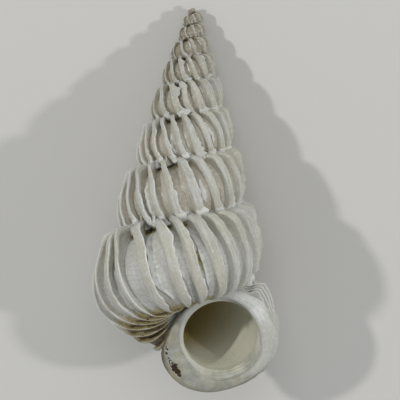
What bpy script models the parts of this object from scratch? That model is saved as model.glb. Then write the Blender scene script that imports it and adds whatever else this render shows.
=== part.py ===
"""A wentletrap: a tall white sea shell, coiled as one open tube with a thin blade at every growth stop.

The shell is worked out with its axis along +Y and its mouth facing +Z, and is then laid down on its
back, as it comes to rest on a table. All sizes are in metres.
"""

import math

import bmesh
import bpy
from mathutils import Vector

# Driving sizes of the coil, taken at the mouth.
GROWTH = 1.33  # each whorl is this much larger than the one above it
WHORLS = 8.75
MOUTH_COIL_RADIUS = 0.00422  # from the axis to the middle of the tube
MOUTH_TUBE_RADIUS = 0.00437
MOUTH_DROP = 0.03656  # along the axis, from where the coil would vanish to the middle of the mouth
TIP_SLIMMING = 0.00005  # taken off both radii all along, so that the tip is finer than a true cone
LAST_DIP = 0.0004  # the mouth turns down this much below the even coil
LAST_DIP_TURNS = 0.15
LEAN = math.radians(20)  # growth lines lean forward at the top, square to the path of the tube

# How the shell lies: rolled about its own axis, tilted until the tip touches the surface, and then
# moved so that the middle of its underside stands at the origin.
REST_ROLL = math.radians(7.89)
REST_TILT = math.radians(-17.40)
REST_PLACE = Vector((-0.000372, 0.022113, -0.000136))

# The ribs: a tall blade stands at each, bent back away from the mouth.
RIBS_PER_WHORL = 20
TIP_RIBS_PER_WHORL = 10
FULL_RIB_WHORLS = 3.0  # the ribs thin out above this many whorls
RIB_THINNING = 1.9  # ribs fewer in each whorl above that
RIB_UNEVENNESS = 0.13  # of the space between two ribs
RIB_RHYTHM = 2.3  # makes the uneven spaces repeat only after many ribs
FIRST_RIB = 0.046  # turns back from the mouth
BLADE_HEIGHT = 0.5  # a usual blade, over the tube's radius
RIB_BEND = 0.34  # how far back the edge of a usual blade lies, over the tube's radius
MOST_BEND = 1.2  # a taller blade is bent back at most this many times as far
RIB_FOOT = 0.032  # width of the blade's foot, in turns
SHARP_RIB_WHORLS = 1.5  # blades stand on feet of their own up to here, and foot to foot above
FINE_WHORLS = 3.1  # the section has fewer points above this many whorls
JOIN_TURNS = 0.1  # how far the two stretches of the coil run into each other

# The blade's reach from the middle of the tube, over the tube's radius. Angles run from straight
# out, through the top of the whorl, to the side next to the axis.
RIB_OUTLINE = {0: 1.53, 24: 1.55, 47: 1.72, 68: 1.41, 95: 1.36, 132: 1.06, 185: 0.94, 235: 1.06,
               275: 1.28, 305: 1.48, 333: 1.52}
TIP_RIB_OUTLINE = {0: 1.54, 47: 1.73, 85: 1.37, 132: 1.0, 185: 0.94, 235: 1.0, 275: 1.3, 320: 1.52}
# Near the mouth no whorl lies below, and the blades change towards this outline.
BASE_RIB_OUTLINE = {0: 1.47, 24: 1.52, 47: 1.72, 68: 1.42, 95: 1.36, 132: 1.06, 185: 0.94, 235: 1.20,
                    275: 1.34, 305: 1.33, 333: 1.41}
BASE_RIB_TURNS = 1.4

# The thick lip, in the same way, and its rings: how far ahead of the mouth, over the tube's radius,
# and the share of the lip's full breadth.
LIP_OUTLINE = {0: 1.40, 30: 1.42, 45: 1.66, 60: 1.45, 90: 1.27, 120: 1.04, 150: 1.10, 180: 1.26,
               195: 1.45, 210: 1.54, 225: 1.58, 240: 1.57, 255: 1.51, 285: 1.42, 315: 1.41}
LIP_POINTS = 24
LIP_EDGE = 0.93  # the mouth's rim, over the tube's radius
LIP_RINGS = ((0.08, 0.25), (0.03, 0.85), (-0.04, 1.0), (-0.14, 0.9), (-0.22, 0.0))

# The hollow of the tube.
HOLLOW = 0.90  # over the tube's radius
HOLLOW_BY_AXIS = 0.87
HOLLOW_START = 0.3  # ahead of the mouth, over the tube's radius
HOLLOW_TURNS = 2.4
HOLLOW_STEPS = 12  # in each whorl
HOLLOW_POINTS = 16

TRIM_RATIO = 0.61  # of the faces left once the slivers are cleared where blades cross


def shrink_at(turns):
    return GROWTH**-turns


def tube_radius(turns):
    return (MOUTH_TUBE_RADIUS + TIP_SLIMMING) * shrink_at(turns) - TIP_SLIMMING


def section_frame(turns):
    """Middle of the tube, and the outward, upward and forward directions of its section."""
    angle = 2 * math.pi * turns
    outward = Vector((math.cos(angle), 0, -math.sin(angle)))
    ahead = Vector((math.sin(angle), 0, math.cos(angle)))
    axis = Vector((0, 1, 0))
    coil_radius = (MOUTH_COIL_RADIUS + TIP_SLIMMING) * shrink_at(turns) - TIP_SLIMMING
    drop = MOUTH_DROP * shrink_at(turns) + LAST_DIP * math.exp(-turns / LAST_DIP_TURNS)
    middle = outward * coil_radius - axis * drop
    upward = axis * math.cos(LEAN) + ahead * math.sin(LEAN)
    forward = ahead * math.cos(LEAN) - axis * math.sin(LEAN)
    return middle, outward, upward, forward


def ring(turns, outline, bend=0.0, ahead=0.0):
    """Points of one ring round the tube. The outline, the bend and the shift ahead are over its radius."""
    middle, outward, upward, forward = section_frame(turns)
    size = tube_radius(turns)
    points = []
    for degrees, reach in outline.items():
        angle = math.radians(degrees)
        spoke = outward * math.cos(angle) + upward * math.sin(angle)
        bent = bend * min(max(reach - 1, 0) / BLADE_HEIGHT, MOST_BEND)
        points.append(middle + (spoke * reach + forward * (ahead - bent)) * size)
    return points


def plain_outline(outline):
    """The tube itself, with its flat side by the axis, at the same angles as the given outline."""
    return {degrees: min(reach, 1.0) for degrees, reach in outline.items()}


def rib_outline(turns, outline, base_outline):
    """The blade's outline this far back from the mouth."""
    share = min(turns / BASE_RIB_TURNS, 1)
    return {degrees: base_outline[degrees] * (1 - share) + reach * share
            for degrees, reach in outline.items()}


def rib_places():
    """Turns back from the mouth of every rib."""
    places = []
    turns = FIRST_RIB
    while turns < WHORLS:
        fewer = max(0.0, turns - FULL_RIB_WHORLS) * RIB_THINNING
        space = 1 / max(TIP_RIBS_PER_WHORL, RIBS_PER_WHORL - fewer)
        places.append(turns + RIB_UNEVENNESS * space * math.sin(RIB_RHYTHM * len(places)))
        turns += space
    return places


def loft(name, rings, start_point, end_point):
    """A closed skin over rings of equal count, from a point at one end to a point at the other."""
    mesh = bmesh.new()
    rows = [[mesh.verts.new(point) for point in points] for points in rings]
    count = len(rows[0])
    for near, far in zip(rows, rows[1:]):
        for i in range(count):
            j = (i + 1) % count
            mesh.faces.new((near[i], near[j], far[j], far[i]))
    for row, point, last in ((rows[0], start_point, False), (rows[-1], end_point, True)):
        tip = mesh.verts.new(point)
        for i in range(count):
            corners = (row[i], row[(i + 1) % count], tip)
            mesh.faces.new(corners if last else corners[::-1])
    bmesh.ops.triangulate(mesh, faces=mesh.faces)
    bmesh.ops.recalc_face_normals(mesh, faces=mesh.faces)
    data = bpy.data.meshes.new(name)
    mesh.to_mesh(data)
    mesh.free()
    return bpy.data.objects.new(name, data)


def ribbed_tube(name, start, stop, outline, base_outline):
    """One stretch of the coil with its blades, between two counts of turns from the mouth."""
    plain = plain_outline(outline)
    rings = [ring(start, plain)]
    for turns in rib_places():
        if not start + RIB_FOOT / 2 < turns < stop - RIB_FOOT:
            continue
        if turns < SHARP_RIB_WHORLS:
            rings.append(ring(turns - RIB_FOOT / 2, plain))
        rings.append(ring(turns, rib_outline(turns, outline, base_outline), RIB_BEND))
        rings.append(ring(turns + RIB_FOOT / 2, plain))
    return loft(name, rings, section_frame(start)[0], section_frame(stop)[0])


def lip(name):
    """The thick white ring round the mouth."""
    known = sorted(LIP_OUTLINE)
    rings = []
    for ahead, share in LIP_RINGS:
        outline = {}
        for step in range(LIP_POINTS):
            degrees = 360 * step / LIP_POINTS
            low = max(angle for angle in known if angle <= degrees)
            high = min([angle for angle in known if angle > degrees], default=360)
            part = (degrees - low) / (high - low)
            reach = LIP_OUTLINE[low] * (1 - part) + LIP_OUTLINE[high % 360] * part
            outline[degrees] = LIP_EDGE + (reach - LIP_EDGE) * share
        rings.append(ring(0, outline, ahead=ahead))
    front, back = (sum(points, Vector()) / LIP_POINTS for points in (rings[0], rings[-1]))
    return loft(name, rings, front, back)


def hollow(name):
    """The space inside the tube, a little longer than the tube at the mouth."""
    outline = {}
    for step in range(HOLLOW_POINTS):
        degrees = 360 * step / HOLLOW_POINTS
        by_axis = max(0.0, -math.cos(math.radians(degrees)))
        outline[degrees] = HOLLOW - (HOLLOW - HOLLOW_BY_AXIS) * by_axis
    rings = [ring(0, outline, ahead=HOLLOW_START), ring(0, outline)]
    for step in range(1, int(HOLLOW_TURNS * HOLLOW_STEPS)):
        rings.append(ring(step / HOLLOW_STEPS, outline))
    middle, _, _, forward = section_frame(0)
    before_mouth = middle + forward * HOLLOW_START * MOUTH_TUBE_RADIUS
    return loft(name, rings, before_mouth, section_frame(HOLLOW_TURNS)[0])


def shell_material():
    material = bpy.data.materials.new("old_white_shell")
    material.use_nodes = True
    shader = material.node_tree.nodes["Principled BSDF"]
    shader.inputs["Base Color"].default_value = (0.62, 0.60, 0.53, 1)
    shader.inputs["Roughness"].default_value = 0.45
    shader.inputs["Metallic"].default_value = 0.0
    return material


def clear_scene():
    for obj in list(bpy.data.objects):
        bpy.data.objects.remove(obj)


def add_collection(name, *objects):
    collection = bpy.data.collections.new(name)
    bpy.context.scene.collection.children.link(collection)
    for obj in objects:
        collection.objects.link(obj)


def add_step(target, tool, operation):
    """A union with a tool, or a cut by it. The tool itself is only a helper."""
    tool.hide_render = True
    tool.display_type = "WIRE"
    step = target.modifiers.new(tool.name, "BOOLEAN")
    step.operation = operation
    step.solver = "EXACT"
    step.use_self = operation == "UNION"
    step.object = tool


def build_shell():
    shell = ribbed_tube("shell", 0.0, FINE_WHORLS + JOIN_TURNS, RIB_OUTLINE, BASE_RIB_OUTLINE)
    spire = ribbed_tube("spire_top", FINE_WHORLS, WHORLS, TIP_RIB_OUTLINE, TIP_RIB_OUTLINE)
    mouth_lip = lip("mouth_lip")
    space = hollow("tube_hollow")
    add_step(shell, spire, "UNION")
    add_step(shell, mouth_lip, "UNION")
    add_step(shell, space, "DIFFERENCE")
    trim = shell.modifiers.new("Trim", "DECIMATE")
    trim.ratio = TRIM_RATIO
    shell.data.materials.append(shell_material())
    laid_down = bpy.data.objects.new("laid_down", None)
    laid_down.rotation_mode = "YXZ"
    laid_down.rotation_euler = (REST_TILT, REST_ROLL, 0)
    laid_down.location = REST_PLACE
    for obj in (shell, spire, mouth_lip, space):
        obj.parent = laid_down
    add_collection("wentletrap_shell", laid_down, shell)
    add_collection("cutters", spire, mouth_lip, space)


clear_scene()
build_shell()
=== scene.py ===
import math

import bmesh
import bpy
import numpy as np
from mathutils import Euler, Matrix, Vector


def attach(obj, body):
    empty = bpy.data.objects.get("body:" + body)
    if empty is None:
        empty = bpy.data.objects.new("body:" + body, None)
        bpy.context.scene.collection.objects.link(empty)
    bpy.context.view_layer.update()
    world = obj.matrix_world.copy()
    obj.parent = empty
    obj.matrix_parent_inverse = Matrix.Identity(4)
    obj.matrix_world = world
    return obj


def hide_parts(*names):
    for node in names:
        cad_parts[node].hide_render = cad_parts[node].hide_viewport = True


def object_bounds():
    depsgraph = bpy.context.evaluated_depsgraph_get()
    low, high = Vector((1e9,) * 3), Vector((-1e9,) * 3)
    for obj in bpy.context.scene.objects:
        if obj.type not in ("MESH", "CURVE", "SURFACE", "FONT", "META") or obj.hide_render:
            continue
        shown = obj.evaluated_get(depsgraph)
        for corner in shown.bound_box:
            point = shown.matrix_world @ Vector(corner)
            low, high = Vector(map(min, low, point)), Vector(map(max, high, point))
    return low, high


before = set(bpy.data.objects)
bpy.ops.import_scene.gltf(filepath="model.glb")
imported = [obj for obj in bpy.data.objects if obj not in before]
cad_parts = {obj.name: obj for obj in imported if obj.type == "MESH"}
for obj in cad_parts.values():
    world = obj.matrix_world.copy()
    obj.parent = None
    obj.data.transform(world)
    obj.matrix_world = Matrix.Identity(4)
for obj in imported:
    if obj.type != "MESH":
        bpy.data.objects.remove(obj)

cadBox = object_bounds()
rng = np.random.default_rng(11)

# The coil, the same as in the solid. Metres, sizes taken at the mouth.
coil = {
    "growth": 1.33,  # each whorl against the one above it
    "whorls": 8.75,
    "coilRadius": 0.00422,  # axis to the middle of the tube
    "tubeRadius": 0.00437,
    "drop": 0.03656,  # along the axis, down from where the coil would vanish
    "tipSlimming": 0.00005,
    "lastDip": 0.0004,  # the mouth hangs this much below the even coil
    "lastDipTurns": 0.15,
    "lean": math.radians(20),
}

# How the shell lies on the table, the same as in the solid.
rest = {
    "roll": math.radians(7.89),
    "tilt": math.radians(-17.40),
    "place": (-0.000372, 0.022113, -0.000136),
    "clearance": 0.00001,  # the lowest blade edges end this far above the table
}

section = {
    "points": 84,  # round the tube
    "crowding": 0.5,  # how much they crowd on the outer side, where they are seen
    "coarseAbove": 3.2,  # half as many points, and plainer blades, this many turns from the mouth
    "weld": 0.000001,  # points closer than this become one
    "crease": math.radians(42),
    "shortest": 0.08,  # the least of the full length that the coil keeps next to the axis
}

ribs = {
    "perWhorl": 20,
    "perWhorlAtTip": 9,
    "fullWhorls": 3.4,  # above this many the ribs get fewer
    "thinning": 5.0,  # by this many in each whorl
    "last": 8.2,  # turns from the mouth
    # the ones seen from the front, in turns back from the mouth: how broad each one is
    "seen": {0.0585: 1.3, 0.125: 1.4, 0.195: 1.4, 0.265: 1.5, 0.33: 1.4, 0.395: 1.3, 0.46: 1.4, 0.52: 1.25,
             0.572: 1.0, 0.612: 0.65, 0.665: 1.25, 0.7225: 1.35, 0.764: 0.9, 0.811: 1.05, 0.850: 0.9,
             0.895: 0.9,
             1.525: 0.8, 1.57: 0.8, 1.615: 0.75, 1.661: 0.7, 1.706: 0.95, 1.763: 1.1, 1.814: 0.8, 1.870: 0.9,
             2.53: 0.9, 2.575: 0.8, 2.62: 0.85, 2.665: 0.85, 2.711: 1.0, 2.762: 0.95, 2.812: 0.75, 2.867: 1.0,
             3.53: 1.0, 3.597: 1.1, 3.668: 1.1, 3.7195: 0.9, 3.778: 1.0, 3.8475: 1.2, 3.915: 1.0},
    "usualBreadth": 0.9,  # of all the others
    # thin torn sheets that run ahead of a rib's foot: middle and spread in degrees, length
    "sheets": {0.7225: (10, 26, 0.34), 0.764: (14, 15, 0.20), 0.811: (-5, 20, 0.08), 1.661: (0, 18, 0.16),
               1.814: (5, 16, 0.10), 2.711: (-5, 18, 0.14), 2.867: (8, 14, 0.12)},
    "chanceSheet": {"from": -30, "to": 40, "spread": 18, "longest": 0.1},  # the other ribs' sheets
    "topSweep": 0.16,  # the blades' tops run ahead by this much
    "height": 0.28,  # a blade this high over the wall has its full roll
    "slimFoot": 0.12,  # and one lower than this has a narrower foot
    "wall": 1.25,  # the wall between blades, over the tube's radius
    "wallAtEnds": 1.23,  # and where it meets the whorls above and below
    "ends": [(84, 15), (276, 17)],  # where that is: degrees round the section, and spread
    "blur": 7.0,  # how soft the outline's corners are, in degrees
    "corner": 0.09,  # the pointed shoulder on each blade
    "cornerAt": 47,
    "fineUntil": 1.6,  # turns from the mouth with every point of the profile
    "ragged": 0.016,
    "worn": 0.01,
    "sutureFrom": 0.9,  # turns from the mouth, where blades end in the gap under the whorl above
    "sutureRagged": 0.16,
    "coveredFrom": 0.85,  # and where the next whorl begins to lie against this one
    "coveredOver": 0.1,
    "chips": {"chance": 0.45, "depth": (0.05, 0.16), "place": (-70, 60), "spread": (1.5, 4)},
    "behindLip": {"lowered": 0.6, "place": (62, 24), "turns": 0.16},  # hidden by the lip's corner
    "unevenRoll": 0.10,
    "roll": 0.78,
    "topWidth": 0.75,  # the blades narrow towards their upper ends
    "narrowing": 0.75,  # and towards the axis, where the coil is shorter
    "edgeRagged": 0.045,
    "flare": 1.5,  # how much wider the blades' lower ends are
    "flareAt": 322,
    "torn": 0.45,  # how far a torn edge can hang over
    "crumbs": {"from": 0.764, "to": 0.811, "middle": 4, "spread": 15},  # brown crumbs left in one gap
    "crust": 0.46,  # the ragged white rim where a whorl sits on the next
    "broadFrom": 2.6,  # from this many turns on the blades get broader
    "broad": 1.3,
    "broadOver": 1.5,
    "slimFrom": 4.2,  # and from this many on they get lower
    "slimOver": 2.6,
    "slim": 0.55,
    # degrees from straight out over the top of the whorl: reach over the tube's radius
    "outline": {0: 1.53, 24: 1.55, 47: 1.72, 68: 1.63, 95: 1.52, 132: 1.10, 185: 0.94, 235: 1.04,
                275: 1.13, 290: 1.25, 305: 1.47, 320: 1.60, 333: 1.56},
    "baseOutline": {0: 1.47, 24: 1.52, 47: 1.72, 68: 1.62, 95: 1.48, 132: 1.06, 185: 0.94, 235: 1.20,
                    275: 1.34, 305: 1.33, 333: 1.41},
    "baseTurns": 1.4,
}

# Brown stains outside, and painted shade where the whorls meet: degrees round the section, and spread.
stainsAndShade = {
    "base": (262, 30),  # among the rib ends below the mouth's side
    "baseUntil": 0.95,  # turns from the mouth
    "baseOver": 0.12,
    "byLip": (222, 24),
    "byLipTurns": 0.14,
    "above": (78, 15),  # where the whorl above sits: painted shade in the hollows under it
    # under this whorl, where the next one lies against it: painted shade
    "below": (262, 32),
}

# One full-sized blade from its front foot over the rolled edge to its back foot,
# backwards along the tube and up from the wall, both over the tube's radius.
bladeProfile = [
    (-0.22, 0.00), (-0.205, 0.045), (-0.13, 0.055), (-0.05, 0.09), (0.00, 0.28), (0.02, 0.40), (0.07, 0.47),
    (0.16, 0.490), (0.25, 0.50), (0.33, 0.494), (0.352, 0.465), (0.34, 0.41), (0.29, 0.32), (0.25, 0.14),
    (0.22, 0.00),
]
middleProfile = [bladeProfile[i] for i in (0, 1, 2, 3, 4, 5, 6, 8, 9, 10, 11, 13, 14)]
smallProfile = [bladeProfile[i] for i in (0, 1, 4, 6, 8, 9, 12, 14)]
bladeTop = 0.5  # the profile's height
rollsFrom = 0.09  # how far back along the profile the roll begins
tearsFrom = 0.3
# where the rolled free edge gets a painted highlight: how far back, spread, and lowest height
paintedEdgeHighlight = {"back": 0.345, "spread": 0.03, "above": 0.38}
sheetHighlight = {-0.205: 1, -0.13: 0.6}  # the front foot's points at a thin sheet's edge, and how strong their painted highlight is

lip = {
    "outline": {0: 1.40, 30: 1.42, 45: 1.66, 60: 1.45, 90: 1.27, 120: 1.12, 150: 1.12, 180: 1.26,
                195: 1.45, 210: 1.54, 225: 1.58, 240: 1.57, 255: 1.51, 285: 1.42, 315: 1.41},
    "rim": {0: 0.87, 45: 0.94, 90: 1.04, 120: 1.02, 180: 0.985, 225: 0.93, 270: 0.89, 315: 0.87},
    # from the mouth's rim over the front to the back: ahead, share of the breadth
    "profile": [(0.020, 0.01), (0.066, 0.06), (0.084, 0.16), (0.088, 0.32), (0.080, 0.48),
                (0.066, 0.62), (0.044, 0.72), (0.016, 0.785), (0.012, 0.83), (0.004, 0.90), (-0.030, 0.965),
                (-0.070, 0.98), (-0.100, 0.90), (-0.112, 0.70)],
    "blur": 4.0,
    "rimBlur": 12.0,
    "highlightShares": (0.32, 0.62, 0.785),  # the profile's points that are the edge of a step, with a stronger painted highlight
    "ledgesAt": (300, 40),  # where the ledges inside the rim show: degrees round the section, and spread
    "leavesAt": ((48, 26), (300, 25)),
    "yellowed": ((207, 50), (272, 38)),
    "soiled": (185, 26),  # brown dirt in the groove between the lip and the base
    # a painted highlight on the lip's upper corner: degrees and spread, and how much
    "paintedLight": (58, 24),
    "paintedLightBy": 0.45,
    # the dark dirt: place and spread in degrees, share of the breadth and its spread, how much
    "dirt": [(219, 9, 0.62, 0.2, 1.0), (199, 12, 0.75, 0.15, 0.64)],
    "leafDirt": (203, 14),
    "leaves": 4,  # thin old lips stacked behind the thick one
    "leafStep": 0.090,
    "firstLeaf": -0.13,
    # the leaves' pointed corner and the dips beside it: degrees, spread, how far out
    "spur": [(55, 3.5, 0.12), (64, 4, -0.05), (76, 5, 0.03), (40, 7, -0.04)],
    # fine ledges inside the rim, from the deepest: back, share of the way to the rim, step out, painted
    # highlight on its edge
    "ledges": [(0.24, 0.1, 0.0, 0), (0.205, 0.2, 0.0, 0), (0.19, 0.3, 0.05, 0.7), (0.15, 0.45, 0.055, 0),
               (0.13, 0.55, 0.115, 0.7), (0.09, 0.7, 0.12, 0), (0.07, 0.8, 0.18, 0.7),
               (0.02, 0.95, 0.185, 0)],
}

hollow = {"reach": 0.88, "byAxis": 0.89, "turns": 1.6, "stepsPerTurn": 30, "shaded": (215, 42)}

tip = {"step": 0.06, "closing": 0.5, "capRings": 5, "likeRibs": 0.4}


def rollOutline(outline, degrees, blur):
    # smooth closed curve through an outline's points
    fine = np.arange(720) * 0.5
    at = np.array(sorted(outline))
    values = np.interp(fine, at, [outline[a] for a in at], period=360)
    reachBlur = np.exp(-0.5 * ((np.arange(-40, 41) * 0.5) / blur) ** 2)
    reachBlur /= reachBlur.sum()
    wrapped = np.concatenate([values[-40:], values, values[:40]])
    return np.interp(degrees % 360, fine, np.convolve(wrapped, reachBlur, "valid"), period=360)


def grown(amount, over):
    # 0 to 1 while an amount grows from 0 over a stretch
    return np.clip(amount / over, 0, 1)


def shrinkAt(turns):
    return coil["growth"] ** -turns


def tubeRadius(turns):
    return (coil["tubeRadius"] + coil["tipSlimming"]) * shrinkAt(turns) - coil["tipSlimming"]


def sectionAngles():
    # radians, starting and ending on the side next to the axis
    around = np.arange(section["points"]) / section["points"] * 2 * math.pi - math.pi
    return around - section["crowding"] * np.sin(around)


angles = sectionAngles()
degreesAround = np.degrees(angles) % 360


def ringPoints(turns, reach, ahead):
    # one closed ring: reach from the middle of the tube and way ahead of it, for each point
    turns = np.broadcast_to(turns, reach.shape)
    angle = 2 * math.pi * turns
    outward = np.stack([np.cos(angle), np.zeros_like(angle), -np.sin(angle)], -1)
    onward = np.stack([np.sin(angle), np.zeros_like(angle), np.cos(angle)], -1)
    axis = np.array([0.0, 1.0, 0.0])
    lean = coil["lean"]
    coilRadius = (coil["coilRadius"] + coil["tipSlimming"]) * shrinkAt(turns) - coil["tipSlimming"]
    drop = coil["drop"] * shrinkAt(turns) + coil["lastDip"] * np.exp(-turns / coil["lastDipTurns"])
    middle = outward * coilRadius[:, None] - axis * drop[:, None]
    upward = axis * math.cos(lean) + onward * math.sin(lean)
    forward = onward * math.cos(lean) - axis * math.sin(lean)
    spoke = outward * np.cos(angles)[:, None] + upward * np.sin(angles)[:, None]
    return middle + (spoke * reach[:, None] + forward * ahead[:, None]) * tubeRadius(turns)[:, None]


def nearness(reach):
    # how much shorter the coil is here than on its outer side
    toAxis = coil["coilRadius"] / coil["tubeRadius"]
    return np.clip((toAxis + reach * np.cos(angles)) / (toAxis + 1), section["shortest"], 1)


def wobble(count, slowest, fastest):
    # smooth closed noise round the section, about -1 to 1
    total = np.zeros_like(angles)
    for _ in range(count):
        waves = rng.integers(slowest, fastest + 1)
        total += rng.normal() * np.sin(waves * angles + rng.uniform(0, 2 * math.pi))
    return total / math.sqrt(count)


def bump(centre, width):
    # 1 at the centre, falling off over the width, in degrees
    away = (degreesAround - centre + 180) % 360 - 180
    return np.exp(-0.5 * (away / width) ** 2)


def ribPlaces():
    # the ribs seen from the front, even ones between them, and wider spaces to the tip
    seen = sorted(ribs["seen"])
    places = []
    for known, following in zip(seen, seen[1:]):
        between = max(1, round((following - known) * ribs["perWhorl"]))
        places += [known + (following - known) * k / between for k in range(between)]
    turns = seen[-1]
    while turns < ribs["last"]:
        places.append(turns)
        fewer = max(0.0, turns - ribs["fullWhorls"]) * ribs["thinning"]
        turns += 1 / max(ribs["perWhorlAtTip"], ribs["perWhorl"] - fewer)
    return places


rows = []  # every ring of the skin, from the deep end of the hollow, over the lip, to the tip


def addRow(turns, reach, ahead, blade=0.0, inside=0.0, lipShareAndHighlight=0.0, dirt=0.0, edge=0.0, stainAndShade=0.0):
    def allRound(value):
        return np.broadcast_to(np.asarray(value, float), angles.shape)

    row = {"points": ringPoints(turns, allRound(reach), allRound(ahead)), "turns": turns}
    marks = {"blade": blade, "inside": inside, "lip": lipShareAndHighlight, "dirt": dirt, "edge": edge, "stainAndShade": stainAndShade}
    rows.append(row | {name: allRound(value) for name, value in marks.items()})


def hollowReach():
    byAxis = np.maximum(0.0, -np.cos(angles))
    return hollow["reach"] - (hollow["reach"] - hollow["byAxis"]) * byAxis


def addHollow():
    # the inside of the tube, from its deep end to the mouth; its stain mark picks out the side painted with
    # more shade
    steps = int(hollow["turns"] * hollow["stepsPerTurn"])
    for step in range(steps, 0, -1):
        reach = hollowReach() + 0.004 * wobble(3, 2, 7)
        addRow(step / hollow["stepsPerTurn"], reach, 0.0, inside=1.0, stainAndShade=bump(*hollow["shaded"]))


def addLip():
    # the ledges inside the rim, the thick lip over its front, and the old lips behind it
    outline = rollOutline(lip["outline"], degreesAround, lip["blur"])
    rim = rollOutline(lip["rim"], degreesAround, lip["rimBlur"])
    breadth = outline - rim
    outerSide = 0.5 + 0.5 * np.cos(angles)
    thin = 0.35 + 0.65 * outerSide
    low = np.clip(bump(*lip["ledgesAt"]) * 1.4, 0, 1)
    onLeft, below = lip["yellowed"]
    yellowed = np.maximum(np.clip(bump(*onLeft) * 1.3, 0, 1), 1.1 * bump(*below))
    soiled = bump(*lip["soiled"])
    # painted highlight on the lip's upper corner, carried in the lip mark above 1
    paintedLight = lip["paintedLightBy"] * bump(*lip["paintedLight"])
    deeper = hollowReach()
    near = nearness(deeper)
    # the ledges' outer corners get a painted highlight through the edge mark
    for back, rise, step, edge in lip["ledges"]:
        reach = deeper + (rim - 0.02 - deeper) * rise + step * low
        addRow(0.0, reach, -back * near, inside=1.0 - 0.9 * rise, lipShareAndHighlight=0.9 * rise, edge=edge * low,
               stainAndShade=0.4 * low)
    byCorner, lowest = lip["leavesAt"]
    stepped = np.clip(bump(*byCorner) + 0.5 * bump(*lowest), 0, 1)  # where the leaves show
    for ahead, share in lip["profile"]:
        unevenness = 0.006 * wobble(3, 2, 6) * share
        reach = rim + breadth * (0.34 * low * (1 - share) + share * (1 - 0.40 * stepped)) + unevenness
        dirt = np.maximum.reduce([much * bump(middle, spread) * math.exp(-((share - at) / across) ** 2)
                                  for middle, spread, at, across, much in lip["dirt"]])
        # a painted highlight on the edges of the steps where the leaves show
        stepHighlight = (0.8 if share in lip["highlightShares"] else 0.4) * stepped * (share > 0.25)
        addRow(0.0, reach, ahead * thin, blade=0.6, inside=max(0.0, 0.4 - 12 * share), dirt=dirt,
               lipShareAndHighlight=min(1.0, 0.7 + 5 * share) + paintedLight * (share > 0.1), edge=stepHighlight,
               stainAndShade=yellowed * (0.45 + 0.45 * (share > 0.8)) + 0.6 * soiled * (share > 0.89))
    for leaf in range(lip["leaves"]):
        place = lip["firstLeaf"] - lip["leafStep"] * leaf
        outermost = 1 - (1 - (leaf + 1) / lip["leaves"]) * 0.40 * stepped - 0.01 * leaf * (1 - stepped)
        edge = breadth * outermost + 0.008 * wobble(6, 5, 18) + 0.014 * stepped * wobble(8, 14, 34)
        for middle, spread, out in lip["spur"]:
            edge = edge + out * bump(middle, spread)
        foot = breadth * (outermost - 0.28)
        halfway = edge - 0.055 * stepped  # the dark line between two leaves
        # the leaves' feet get painted shade through the stain mark, and their edges a painted highlight
        # through the edge mark
        for shift, reach, blade in ((0.040, foot, 0.0), (0.036, halfway, 0.1), (0.026, edge, 1.0),
                                    (-0.004, edge - 0.012, 0.9), (-0.018, foot, 0.0)):
            addRow(0.0, rim + reach, (place + shift) * thin, blade=blade, lipShareAndHighlight=0.35,
                   edge=blade * stepped, dirt=0.66 * bump(*lip["leafDirt"]),
                   stainAndShade=yellowed * 0.9 + 0.28 * stepped * (blade < 0.5) + 0.8 * soiled)


def slimAt(turns):
    # how much lower the ribs are towards the tip
    return ribs["slim"] * grown(turns - ribs["slimFrom"], ribs["slimOver"])


def coveredAt(turns):
    # 1 where the next whorl lies against this one
    return grown(turns - ribs["coveredFrom"], ribs["coveredOver"])


def plainWall(turns):
    # the wall between two blades
    outline = rollOutline(ribs["outline"], degreesAround, ribs["blur"])
    above, below = ribs["ends"]
    atEnds = np.clip(bump(*above) + bump(*below), 0, 1)
    wall = ribs["wall"] - (ribs["wall"] - ribs["wallAtEnds"]) * atEnds
    wall = 1 + (wall - 1) * (1 - slimAt(turns))
    return np.minimum(outline, 1 + (wall - 1) * grown(outline - 1, 0.2))


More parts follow.
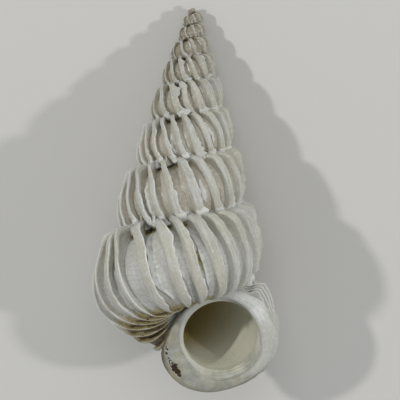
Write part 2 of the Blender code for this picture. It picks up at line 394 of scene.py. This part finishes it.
def addRib(turns, profile):
    # one blade; the numbers drawn by chance make its wear
    share = min(turns / ribs["baseTurns"], 1)
    outline = rollOutline(ribs["outline"], degreesAround, ribs["blur"]) * share
    outline += rollOutline(ribs["baseOutline"], degreesAround, ribs["blur"]) * (1 - share)
    degrees = np.degrees(angles)  # up to 180 over the top of the whorl, below 0 under it
    sweep = grown(degrees - 25, 60) * grown(150 - degrees, 30) * ribs["topSweep"]
    wall = np.minimum(outline, plainWall(turns))
    height = np.maximum(outline + ribs["corner"] * bump(ribs["cornerAt"], 7) - wall, 0) * (1 - slimAt(turns))
    hidden = ribs["behindLip"]
    height *= 1 - hidden["lowered"] * bump(*hidden["place"]) * max(0.0, 1 - turns / hidden["turns"])
    if turns > ribs["sutureFrom"]:
        height *= 1 + ribs["sutureRagged"] * bump(ribs["flareAt"] - 6, 12) * wobble(6, 12, 30)
    height *= 1 + ribs["ragged"] * wobble(8, 9, 34) - ribs["worn"]
    chips = ribs["chips"]
    if rng.random() < chips["chance"]:
        for _ in range(rng.integers(1, 3)):
            depth = rng.uniform(*chips["depth"])
            height *= 1 - depth * bump(rng.uniform(*chips["place"]), rng.uniform(*chips["spread"]))
    width = ribs["roll"] * ribs["seen"].get(round(turns, 4), ribs["usualBreadth"])
    width *= 1 + ribs["broad"] * grown(turns - ribs["broadFrom"], ribs["broadOver"])
    upper = grown(degrees - 20, 45)
    roll = width * (1 + ribs["unevenRoll"] * rng.normal()) * (1 + 0.07 * wobble(3, 1, 4))
    roll = roll * np.clip(height / ribs["height"], 0, 1.1) * (1 - (1 - ribs["topWidth"]) * upper)
    roll = roll * (0.6 + 0.4 * np.clip(bump(350, 60) * 1.3, 0, 1))
    torn = patches(0.5) * (1 + 0.35 * wobble(8, 9, 37))
    frayedEnd = bump(ribs["flareAt"], 8) * (1 + 0.45 * wobble(5, 16, 36)) * coveredAt(turns)
    torn = torn + ribs["flare"] * frayedEnd
    frayed = ribs["edgeRagged"] * wobble(8, 18, 37)
    chance = ribs["chanceSheet"]
    chanceSheet = (rng.uniform(chance["from"], chance["to"]), chance["spread"],
                   rng.uniform(-chance["longest"], chance["longest"]))
    middle, spread, length = ribs["sheets"].get(round(turns, 4), chanceSheet)
    sheet = np.clip(1.6 * bump(middle, spread), 0, 1) * max(length, 0.0)
    sheet = sheet * (1 + 0.06 * wobble(5, 16, 37) + 0.12 * wobble(3, 5, 12))
    slant = 0.03 * wobble(2, 1, 2)  # the foot wanders a little along the tube
    thick = grown(height, ribs["slimFoot"])
    near = nearness(1.0) ** ribs["narrowing"]
    for back, up in profile:
        curled = max(back - rollsFrom, 0.0)
        foot = min(back, rollsFrom)
        ahead = -(foot * thick + curled * roll * (1 + (ribs["torn"] * torn + frayed) * (back > tearsFrom)))
        if back < -0.1:
            ahead = ahead + sheet
        ahead = ahead * near
        # the edge mark: a painted highlight along the rolled free edge and a thin sheet's edge, and white on
        # the frayed blade ends at the suture
        atTop = up > paintedEdgeHighlight["above"]
        edge = max(0.0, 1 - abs(back - paintedEdgeHighlight["back"]) / paintedEdgeHighlight["spread"]) * atTop
        if turns > ribs["sutureFrom"] and atTop:
            edge = np.maximum(edge, 0.9 * bump(ribs["flareAt"], 8) * (1 - 1.6 * slimAt(turns)))
        if back in sheetHighlight:
            edge = np.clip(sheet * 9, 0, 1) * sheetHighlight[back]
        share = up / bladeTop
        rise = height * up / bladeTop + np.clip(sheet * 0.3, 0, 0.035) * (-0.21 < back < 0)
        addRow(turns, wall + rise, ahead + sweep + slant * thick * (up > 0), blade=share, edge=edge,
               stainAndShade=stainAndShadeAt(turns, share))


def stainAndShadeAt(turns, height=0.0):
    # brown stain among the rib ends at the base, and painted shade where the whorls meet; less of both up a
    # blade
    atBase = grown(stainsAndShade["baseUntil"] - turns, stainsAndShade["baseOver"])
    base = np.clip(bump(*stainsAndShade["base"]) * 1.3, 0, 1) * atBase * (1 - 0.45 * height)
    base = np.maximum(base, 0.8 * bump(*stainsAndShade["byLip"]) * max(0.0, 1 - turns / stainsAndShade["byLipTurns"]))
    # painted shade in the hollow under the whorl above, and under this whorl where the next one lies
    above = np.clip(bump(*stainsAndShade["above"]) * 1.4, 0, 1) * (1 - 0.85 * height)
    below = np.clip(bump(*stainsAndShade["below"]) * 1.3, 0, 1) * coveredAt(turns) * (1 - 0.8 * height)
    return np.maximum(np.maximum(base, above), below)


def patches(rarity):
    # a few separate stretches round the section, 0 to 1
    return np.clip(wobble(4, 2, 7) - rarity, 0, 0.5) * 2


def addGap(turns, shift):
    # one ring of that wall, with the ragged rim under the spire
    plain = plainWall(turns) + 0.006 * wobble(3, 2, 8)
    rim = ribs["crust"] * coveredAt(turns) * rng.uniform(0.55, 1.2)
    rim = rim * bump(rng.uniform(ribs["flareAt"] - 8, ribs["flareAt"]), 6.5)
    stainAndShade = stainAndShadeAt(turns) * (1 - np.clip(rim * 4, 0, 1))
    crumbs = ribs["crumbs"]
    if crumbs["from"] < turns < crumbs["to"]:
        stainAndShade = np.maximum(stainAndShade, 0.95 * bump(crumbs["middle"], crumbs["spread"]))
    addRow(turns, plain + rim, shift, blade=np.clip(rim * 5, 0, 1), stainAndShade=stainAndShade,
           edge=np.clip(rim * 4, 0, 0.9) * (1 - 1.6 * slimAt(turns)))


def addTip(turns):
    # the smooth first whorl, ending in a rounded cap
    plain = plainWall(turns)
    first = turns
    while turns < coil["whorls"]:
        size = 1.0 - tip["closing"] * (turns - first) / (coil["whorls"] - first)
        addRow(turns, plain * size, 0.0, blade=tip["likeRibs"])
        turns += tip["step"]
    for step in range(1, tip["capRings"] + 1):
        around = step / (tip["capRings"] + 1) * math.pi / 2
        reach, ahead = plain * size * math.cos(around), -size * math.sin(around)
        addRow(coil["whorls"], reach, ahead, blade=tip["likeRibs"])


addHollow()
addLip()
places = ribPlaces()
for k, place in enumerate(places):
    coarse = place >= section["coarseAbove"]
    addRib(place, bladeProfile if place < ribs["fineUntil"] else smallProfile if coarse else middleProfile)
    following = places[k + 1] if k + 1 < len(places) else place + 0.1
    gapMiddle = place * 0.42 + following * 0.58
    for shift in (0.06,) if coarse else (0.06, -0.06):
        addGap(gapMiddle, shift)
addTip(places[-1] + 0.12)
print("rings", len(rows))


def skinMesh(name):
    # joins the rings, with half as many points towards the tip
    coarseFrom = next(i for i, row in enumerate(rows) if row["turns"] > section["coarseAbove"])
    starts, counts, points = [], [], []
    marks = {key: [] for key in ("blade", "inside", "lip", "dirt", "edge", "stainAndShade", "turns")}
    lengthAlong, lengthsAlong = 0.0, []
    outer = section["points"] // 2
    for i, row in enumerate(rows):
        step = 1 if i < coarseFrom else 2
        if i:
            lengthAlong += float(np.linalg.norm(row["points"][outer] - rows[i - 1]["points"][outer]))
        lengthsAlong.append(lengthAlong)
        starts.append(sum(counts))
        counts.append(section["points"] // step)
        points.append(row["points"][::step])
        for key, values in marks.items():
            values.append(np.broadcast_to(row[key], angles.shape)[::step])
    points = np.concatenate(points)
    marks = {key: np.concatenate(values) for key, values in marks.items()}
    faces, maps = [], []

    def cornerAt(i, j):  # point j of ring i, and its place on the growth map in millimetres
        count = counts[i]
        around = (j / count - 0.5) * 2 * math.pi * tubeRadius(max(rows[i]["turns"], 0)) * 1000
        return starts[i] + j % count, (lengthsAlong[i] * 1000, around)

    for i in range(len(rows) - 1):
        if counts[i] == counts[i + 1]:
            for j in range(counts[i]):
                corners = [cornerAt(i, j), cornerAt(i, j + 1), cornerAt(i + 1, j + 1), cornerAt(i + 1, j)]
                faces.append([c[0] for c in corners])
                maps.extend(c[1] for c in corners)
        else:
            for j in range(counts[i + 1]):
                fine = [cornerAt(i, 2 * j + k) for k in range(3)]
                wide = [cornerAt(i + 1, j + k) for k in range(2)]
                for corners in ((fine[0], fine[1], wide[0]), (fine[1], wide[1], wide[0]),
                                (fine[1], fine[2], wide[1])):
                    faces.append([c[0] for c in corners])
                    maps.extend(c[1] for c in corners)
    for i, turned in ((0, True), (len(rows) - 1, False)):
        middle = points[starts[i]:starts[i] + counts[i]].mean(0)
        points = np.vstack([points, middle])
        for key in marks:
            marks[key] = np.append(marks[key], marks[key][starts[i]])
        for j in range(counts[i]):
            corners = [cornerAt(i, j), cornerAt(i, j + 1), (len(points) - 1, cornerAt(i, j)[1])]
            if turned:
                corners.reverse()
            faces.append([c[0] for c in corners])
            maps.extend(c[1] for c in corners)
    mesh = bpy.data.meshes.new(name)
    mesh.from_pydata(points.tolist(), [], faces)
    growthMap = mesh.uv_layers.new(name="growthMap")
    growthMap.uv.foreach_set("vector", np.array(maps, "f").ravel())
    for key in marks:
        layer = mesh.attributes.new(key, "FLOAT", "POINT")
        layer.data.foreach_set("value", marks[key].astype("f"))
    weld(mesh)
    mesh.flip_normals()  # the rings run the other way round
    return mesh


def weld(mesh):
    # near the axis the blades fade to nothing, and their points fall together
    skin = bmesh.new()
    skin.from_mesh(mesh)
    bmesh.ops.remove_doubles(skin, verts=skin.verts, dist=section["weld"])
    bmesh.ops.dissolve_degenerate(skin, edges=skin.edges, dist=section["weld"])
    skin.to_mesh(mesh)
    skin.free()


def lyingDown():
    turn = Euler((rest["tilt"], rest["roll"], 0), "YXZ").to_matrix().to_4x4()
    return Matrix.Translation(rest["place"]) @ turn


def layDown(mesh):
    mesh.transform(lyingDown())
    spots = np.empty(len(mesh.vertices) * 3, "f")
    mesh.vertices.foreach_get("co", spots)
    spots[2::3] = np.maximum(spots[2::3], cadBox[0][2] + rest["clearance"])
    mesh.vertices.foreach_set("co", spots)
    mesh.update()


shellMesh = skinMesh("ribbedShell")
layDown(shellMesh)
shellMesh.shade_smooth()
shellMesh.set_sharp_from_angle(angle=section["crease"])
shell = bpy.data.objects.new("ribbedShell", shellMesh)
bpy.context.scene.collection.objects.link(shell)
print("skin triangles", sum(len(p.vertices) - 2 for p in shellMesh.polygons))


# Looks. Colours are linear.
looks = {
    "lip": (0.565, 0.57, 0.525),
    "blade": (0.61, 0.615, 0.57),
    "bladeShade": (0.42, 0.415, 0.355),
    "cream": (0.55, 0.525, 0.42),
    # white: chalky specks, the white crust, and painted highlights on edges
    "edge": (0.82, 0.825, 0.79),
    "wall": (0.53, 0.53, 0.485),
    "tile": (0.60, 0.60, 0.57),
    "tileSize": 0.8,  # mm, the faint squares between the ribs
    "spireWall": (0.50, 0.465, 0.38),
    "tip": (0.27, 0.24, 0.165),
    "lumen": (0.66, 0.65, 0.52),
    # painted shade deep inside the mouth
    "paintedLumenShade": (0.33, 0.255, 0.075),
    "under": (0.36, 0.31, 0.20),  # painted shade, olive-brown, in the gaps between the whorls
    "baseStain": (0.37, 0.315, 0.155),
    "brown": (0.10, 0.065, 0.022),
    "yellowed": (0.385, 0.35, 0.225),
    "greyed": (0.315, 0.315, 0.26),
    "grain": (0.036, 0.020, 0.006),
    "roughness": 0.5,
    "coat": 0.05,
    "subsurface": 0.3,
    "subsurfaceRadius": (1.0, 0.85, 0.65),
    "subsurfaceDepth": 0.0007,
    "relief": 0.7,
    "growthLineDepth": 0.00010,
    "pittingDepth": 0.00006,
}


def addNode(tree, kind, inputs=None, **settings):
    node = tree.nodes.new("ShaderNode" + kind)
    for key, value in settings.items():
        setattr(node, key, value)
    for key, value in (inputs or {}).items():
        if isinstance(value, bpy.types.NodeSocket):
            tree.links.new(value, node.inputs[key])
        else:
            node.inputs[key].default_value = value
    return node


def calc(tree, operation, first, second=0.0):
    return addNode(tree, "Math", {0: first, 1: second}, operation=operation).outputs[0]


def ramp(tree, value, low, high, lowest=0.0, highest=1.0):
    spread = {0: value, 1: low, 2: high, 3: lowest, 4: highest}
    return addNode(tree, "MapRange", spread, interpolation_type="SMOOTHSTEP").outputs[0]


def blendColour(tree, share, under, over):
    under, over = ((*c, 1.0) if isinstance(c, tuple) else c for c in (under, over))
    return addNode(tree, "Mix", {0: share, 6: under, 7: over}, data_type="RGBA").outputs[2]


def noise(tree, place, scale, detail=3.0):
    return addNode(tree, "TexNoise", {"Vector": place, "Scale": scale, "Detail": detail}).outputs[0]


def scaled(tree, place, factors):
    return addNode(tree, "VectorMath", {0: place, 1: factors}, operation="MULTIPLY").outputs[0]


def shellMaterial():
    material = bpy.data.materials.new("agedShell")
    material.use_nodes = True
    tree = material.node_tree
    shader = tree.nodes["Principled BSDF"]

    def mark(name):
        return addNode(tree, "Attribute", attribute_name=name).outputs["Fac"]

    blade, inside, lipShareAndHighlight, turns = (mark(name) for name in ("blade", "inside", "lip", "turns"))
    growth = addNode(tree, "UVMap", uv_map="growthMap").outputs[0]
    spot = scaled(tree, addNode(tree, "TexCoord").outputs["Object"], (1000, 1000, 1000))  # millimetres

    # the wall between the ribs, with faint squares low on the shell
    wander = noise(tree, spot, 0.8, 2.0)
    around = addNode(tree, "SeparateXYZ", {0: growth}).outputs[1]
    square = calc(tree, "FRACT", calc(tree, "ADD", calc(tree, "DIVIDE", around, looks["tileSize"]), wander))
    joint = ramp(tree, calc(tree, "ABSOLUTE", calc(tree, "SUBTRACT", square, 0.5)), 0.38, 0.5)
    mottled = noise(tree, spot, 0.6, 4.0)
    lowWall = blendColour(tree, ramp(tree, mottled, 0.35, 0.65), looks["wall"], looks["tile"])
    lowWall = blendColour(tree, calc(tree, "MULTIPLY", joint, 0.5), lowWall, looks["bladeShade"])
    wall = blendColour(tree, ramp(tree, turns, 0.95, 1.15), lowWall, looks["spireWall"])

    # the ribs, with fine growth lines and chalky specks
    streaks = noise(tree, scaled(tree, growth, (4.0, 0.25, 1)), 1.0, 3.0)
    chalk = noise(tree, spot, 3.2, 4.0)
    worn = blendColour(tree, ramp(tree, streaks, 0.40, 0.56), looks["bladeShade"], looks["blade"])
    worn = blendColour(tree, ramp(tree, mottled, 0.3, 0.6, 0.25, 0.75), looks["blade"], worn)
    cream = ramp(tree, noise(tree, spot, 0.21, 2.0), 0.42, 0.62, 0, 0.6)
    worn = blendColour(tree, cream, worn, looks["cream"])
    colour = blendColour(tree, ramp(tree, blade, 0.1, 0.6), wall, worn)
    browned = ramp(tree, turns, 2.2, 6.5, 0, 0.85)
    browned = calc(tree, "MULTIPLY", browned, ramp(tree, blade, 0.3, 1.0, 1.0, 0.5))
    colour = blendColour(tree, browned, colour, looks["tip"])
    colour = blendColour(tree, ramp(tree, lipShareAndHighlight, 0.1, 0.6), colour, looks["lip"])
    colour = blendColour(tree, ramp(tree, chalk, 0.50, 0.66, 0, 0.25), colour, looks["edge"])
    colour = blendColour(tree, ramp(tree, chalk, 0.42, 0.30, 0, 0.2), colour, looks["bladeShade"])
    # painted highlight: the edge mark, made ragged by noise, whitens free edges, sheets, lip steps and
    # ledges, with the white crust and blade ends at the sutures
    frayed = calc(tree, "ADD", mark("edge"), calc(tree, "MULTIPLY", noise(tree, spot, 2.2, 4.0), 0.8))
    colour = blendColour(tree, ramp(tree, frayed, 0.75, 1.0, 0, 0.85), colour, looks["edge"])
    stainAndShade = mark("stainAndShade")
    # painted shade inside the mouth: darker deeper in, and sooner on the side picked out by the stain mark
    depth = calc(tree, "SUBTRACT", turns, calc(tree, "MULTIPLY", stainAndShade, 0.16))
    hollowColourAndShade = blendColour(tree, ramp(tree, depth, 0.08, 0.22), looks["lumen"], looks["paintedLumenShade"])
    colour = blendColour(tree, inside, colour, hollowColourAndShade)

    # stains among the rib ends and on the lip, painted shade where the whorls meet, a painted highlight on
    # the lip's corner, and dark grains
    shaken = calc(tree, "ADD", stainAndShade, calc(tree, "MULTIPLY", noise(tree, spot, 1.1, 3.0), 0.6))
    onLip = calc(tree, "MULTIPLY", ramp(tree, shaken, 0.45, 0.95), ramp(tree, lipShareAndHighlight, 0.05, 0.2))
    aged = blendColour(tree, ramp(tree, mottled, 0.3, 0.55), looks["yellowed"], looks["greyed"])
    colour = blendColour(tree, onLip, colour, aged)
    # painted highlight: the lip mark above 1 whitens the lip's upper corner
    colour = blendColour(tree, ramp(tree, lipShareAndHighlight, 1.0, 1.5, 0, 0.55), colour, looks["edge"])
    soiled = calc(tree, "MULTIPLY", ramp(tree, shaken, 1.25, 1.8, 0, 0.75), ramp(tree, lipShareAndHighlight, 0.05, 0.2))
    colour = blendColour(tree, soiled, colour, looks["brown"])
    outside = calc(tree, "SUBTRACT", 1.0, ramp(tree, calc(tree, "ADD", inside, lipShareAndHighlight), 0.02, 0.2))
    baseOnly = calc(tree, "MULTIPLY", outside, ramp(tree, turns, 0.95, 0.85))
    # olive painted shade where the whorls meet, brown stain at the base
    olive = blendColour(tree, baseOnly, looks["under"], looks["baseStain"])
    colour = blendColour(tree, calc(tree, "MULTIPLY", ramp(tree, shaken, 0.55, 1.05), outside), colour, olive)
    # darkest brown: stain at the base, and painted shade where the whorls meet
    moreAtBase = calc(tree, "ADD", 0.1, calc(tree, "MULTIPLY", baseOnly, 0.85))
    brownStainAndShade = calc(tree, "MULTIPLY", ramp(tree, shaken, 1.05, 1.35), moreAtBase)
    colour = blendColour(tree, calc(tree, "MULTIPLY", brownStainAndShade, outside), colour, looks["brown"])
    grains = ramp(tree, noise(tree, spot, 4.5, 2.0), 0.60, 0.64)
    grains = calc(tree, "MULTIPLY", grains, calc(tree, "MULTIPLY", baseOnly, ramp(tree, stainAndShade, 0.3, 0.7)))
    dirt = calc(tree, "ADD", mark("dirt"), calc(tree, "MULTIPLY", noise(tree, spot, 4.5, 4.0), 1.3))
    grains = calc(tree, "MAXIMUM", grains, ramp(tree, dirt, 1.2, 1.28))
    colour = blendColour(tree, grains, colour, looks["grain"])

    # fine relief: the growth lines again, and pits
    pits = noise(tree, spot, 4.0, 4.0)
    height = calc(tree, "ADD", calc(tree, "MULTIPLY", streaks, looks["growthLineDepth"]),
                  calc(tree, "MULTIPLY", pits, looks["pittingDepth"]))
    relief = addNode(tree, "Bump", {"Strength": looks["relief"], "Distance": 1.0, "Height": height})
    tree.links.new(colour, shader.inputs["Base Color"])
    tree.links.new(relief.outputs[0], shader.inputs["Normal"])
    shader.inputs["Roughness"].default_value = looks["roughness"]
    shader.inputs["Coat Weight"].default_value = looks["coat"]
    shader.inputs["Subsurface Weight"].default_value = looks["subsurface"]
    shader.inputs["Subsurface Radius"].default_value = looks["subsurfaceRadius"]
    shader.inputs["Subsurface Scale"].default_value = looks["subsurfaceDepth"]
    return material


shellMesh.materials.append(shellMaterial())
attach(shell, "root")
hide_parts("shell")
print("looks", shellMesh.materials[0].name)

# The table, the lamps and the camera.
studio = {
    "floorSize": 1.2,
    "floorColour": (0.72, 0.71, 0.68),
    "floorRoughness": 0.8,
    "sky": (0.55, 0.57, 0.60),
    "skyStrength": 0.50,
    "cameraAway": 0.35,
    "lens": 303.0,
    "turn": math.radians(2.4),  # the shell's axis leans this much in the picture
    "middle": (0.00052, -0.022776),  # picture's middle, right and up from the shell's own zero
    # as seen in the picture: right, up and towards the camera; then size, watts and colour
    "lamps": {
        "leftLamp": ((-0.44, 0.05, 0.37), 0.035, 1.0, (1.0, 0.99, 0.96)),
        "rightLamp": ((0.45, -0.08, 0.37), 0.035, 1.0, (1.0, 0.99, 0.97)),
        "softBox": ((-0.02, 0.24, 0.58), 0.40, 0.64, (1.0, 0.99, 0.97)),
    },
}


def pictureSpace():
    # picture's right, up and towards-the-camera as the shell lies
    turn = studio["turn"]
    right = Vector((math.cos(turn), math.sin(turn), 0))
    up = Vector((-math.sin(turn), math.cos(turn), 0))
    middle = right * studio["middle"][0] + up * studio["middle"][1]
    axes = Matrix((right, up, (0, 0, 1))).transposed().to_4x4()
    return lyingDown() @ Matrix.Translation(middle) @ axes


def addStudio():
    scene = bpy.context.scene
    space = pictureSpace()
    half = studio["floorSize"] / 2
    floorMesh = bpy.data.meshes.new("table")
    floorMesh.from_pydata([(-half, -half, 0), (half, -half, 0), (half, half, 0), (-half, half, 0)], [],
                          [(0, 1, 2, 3)])
    paper = bpy.data.materials.new("palePaper")
    paper.use_nodes = True
    shader = paper.node_tree.nodes["Principled BSDF"]
    shader.inputs["Base Color"].default_value = (*studio["floorColour"], 1)
    shader.inputs["Roughness"].default_value = studio["floorRoughness"]
    floorMesh.materials.append(paper)
    floor = bpy.data.objects.new("table", floorMesh)
    scene.collection.objects.link(floor)

    for name, (place, size, watts, colour) in studio["lamps"].items():
        lamp = bpy.data.lights.new(name, "AREA")
        lamp.shape = "DISK"
        lamp.size = size
        lamp.energy = watts
        lamp.color = colour
        stand = bpy.data.objects.new(name, lamp)
        aim = Vector(place).to_track_quat("Z", "Y").to_matrix().to_4x4()
        stand.matrix_world = space @ Matrix.Translation(place) @ aim
        scene.collection.objects.link(stand)

    sky = bpy.data.worlds.new("softSky")
    sky.use_nodes = True
    background = sky.node_tree.nodes["Background"]
    background.inputs["Color"].default_value = (*studio["sky"], 1)
    background.inputs["Strength"].default_value = studio["skyStrength"]
    scene.world = sky

    camera = bpy.data.cameras.new("camera")
    camera.lens = studio["lens"]
    camera.sensor_width = 36
    camera.clip_start = 0.01
    eye = bpy.data.objects.new("camera", camera)
    eye.matrix_world = space @ Matrix.Translation((0, 0, studio["cameraAway"]))
    scene.collection.objects.link(eye)
    scene.camera = eye
    scene.view_settings.view_transform = "Standard"
    scene.cycles.use_denoising = True


addStudio()
print("studio set")
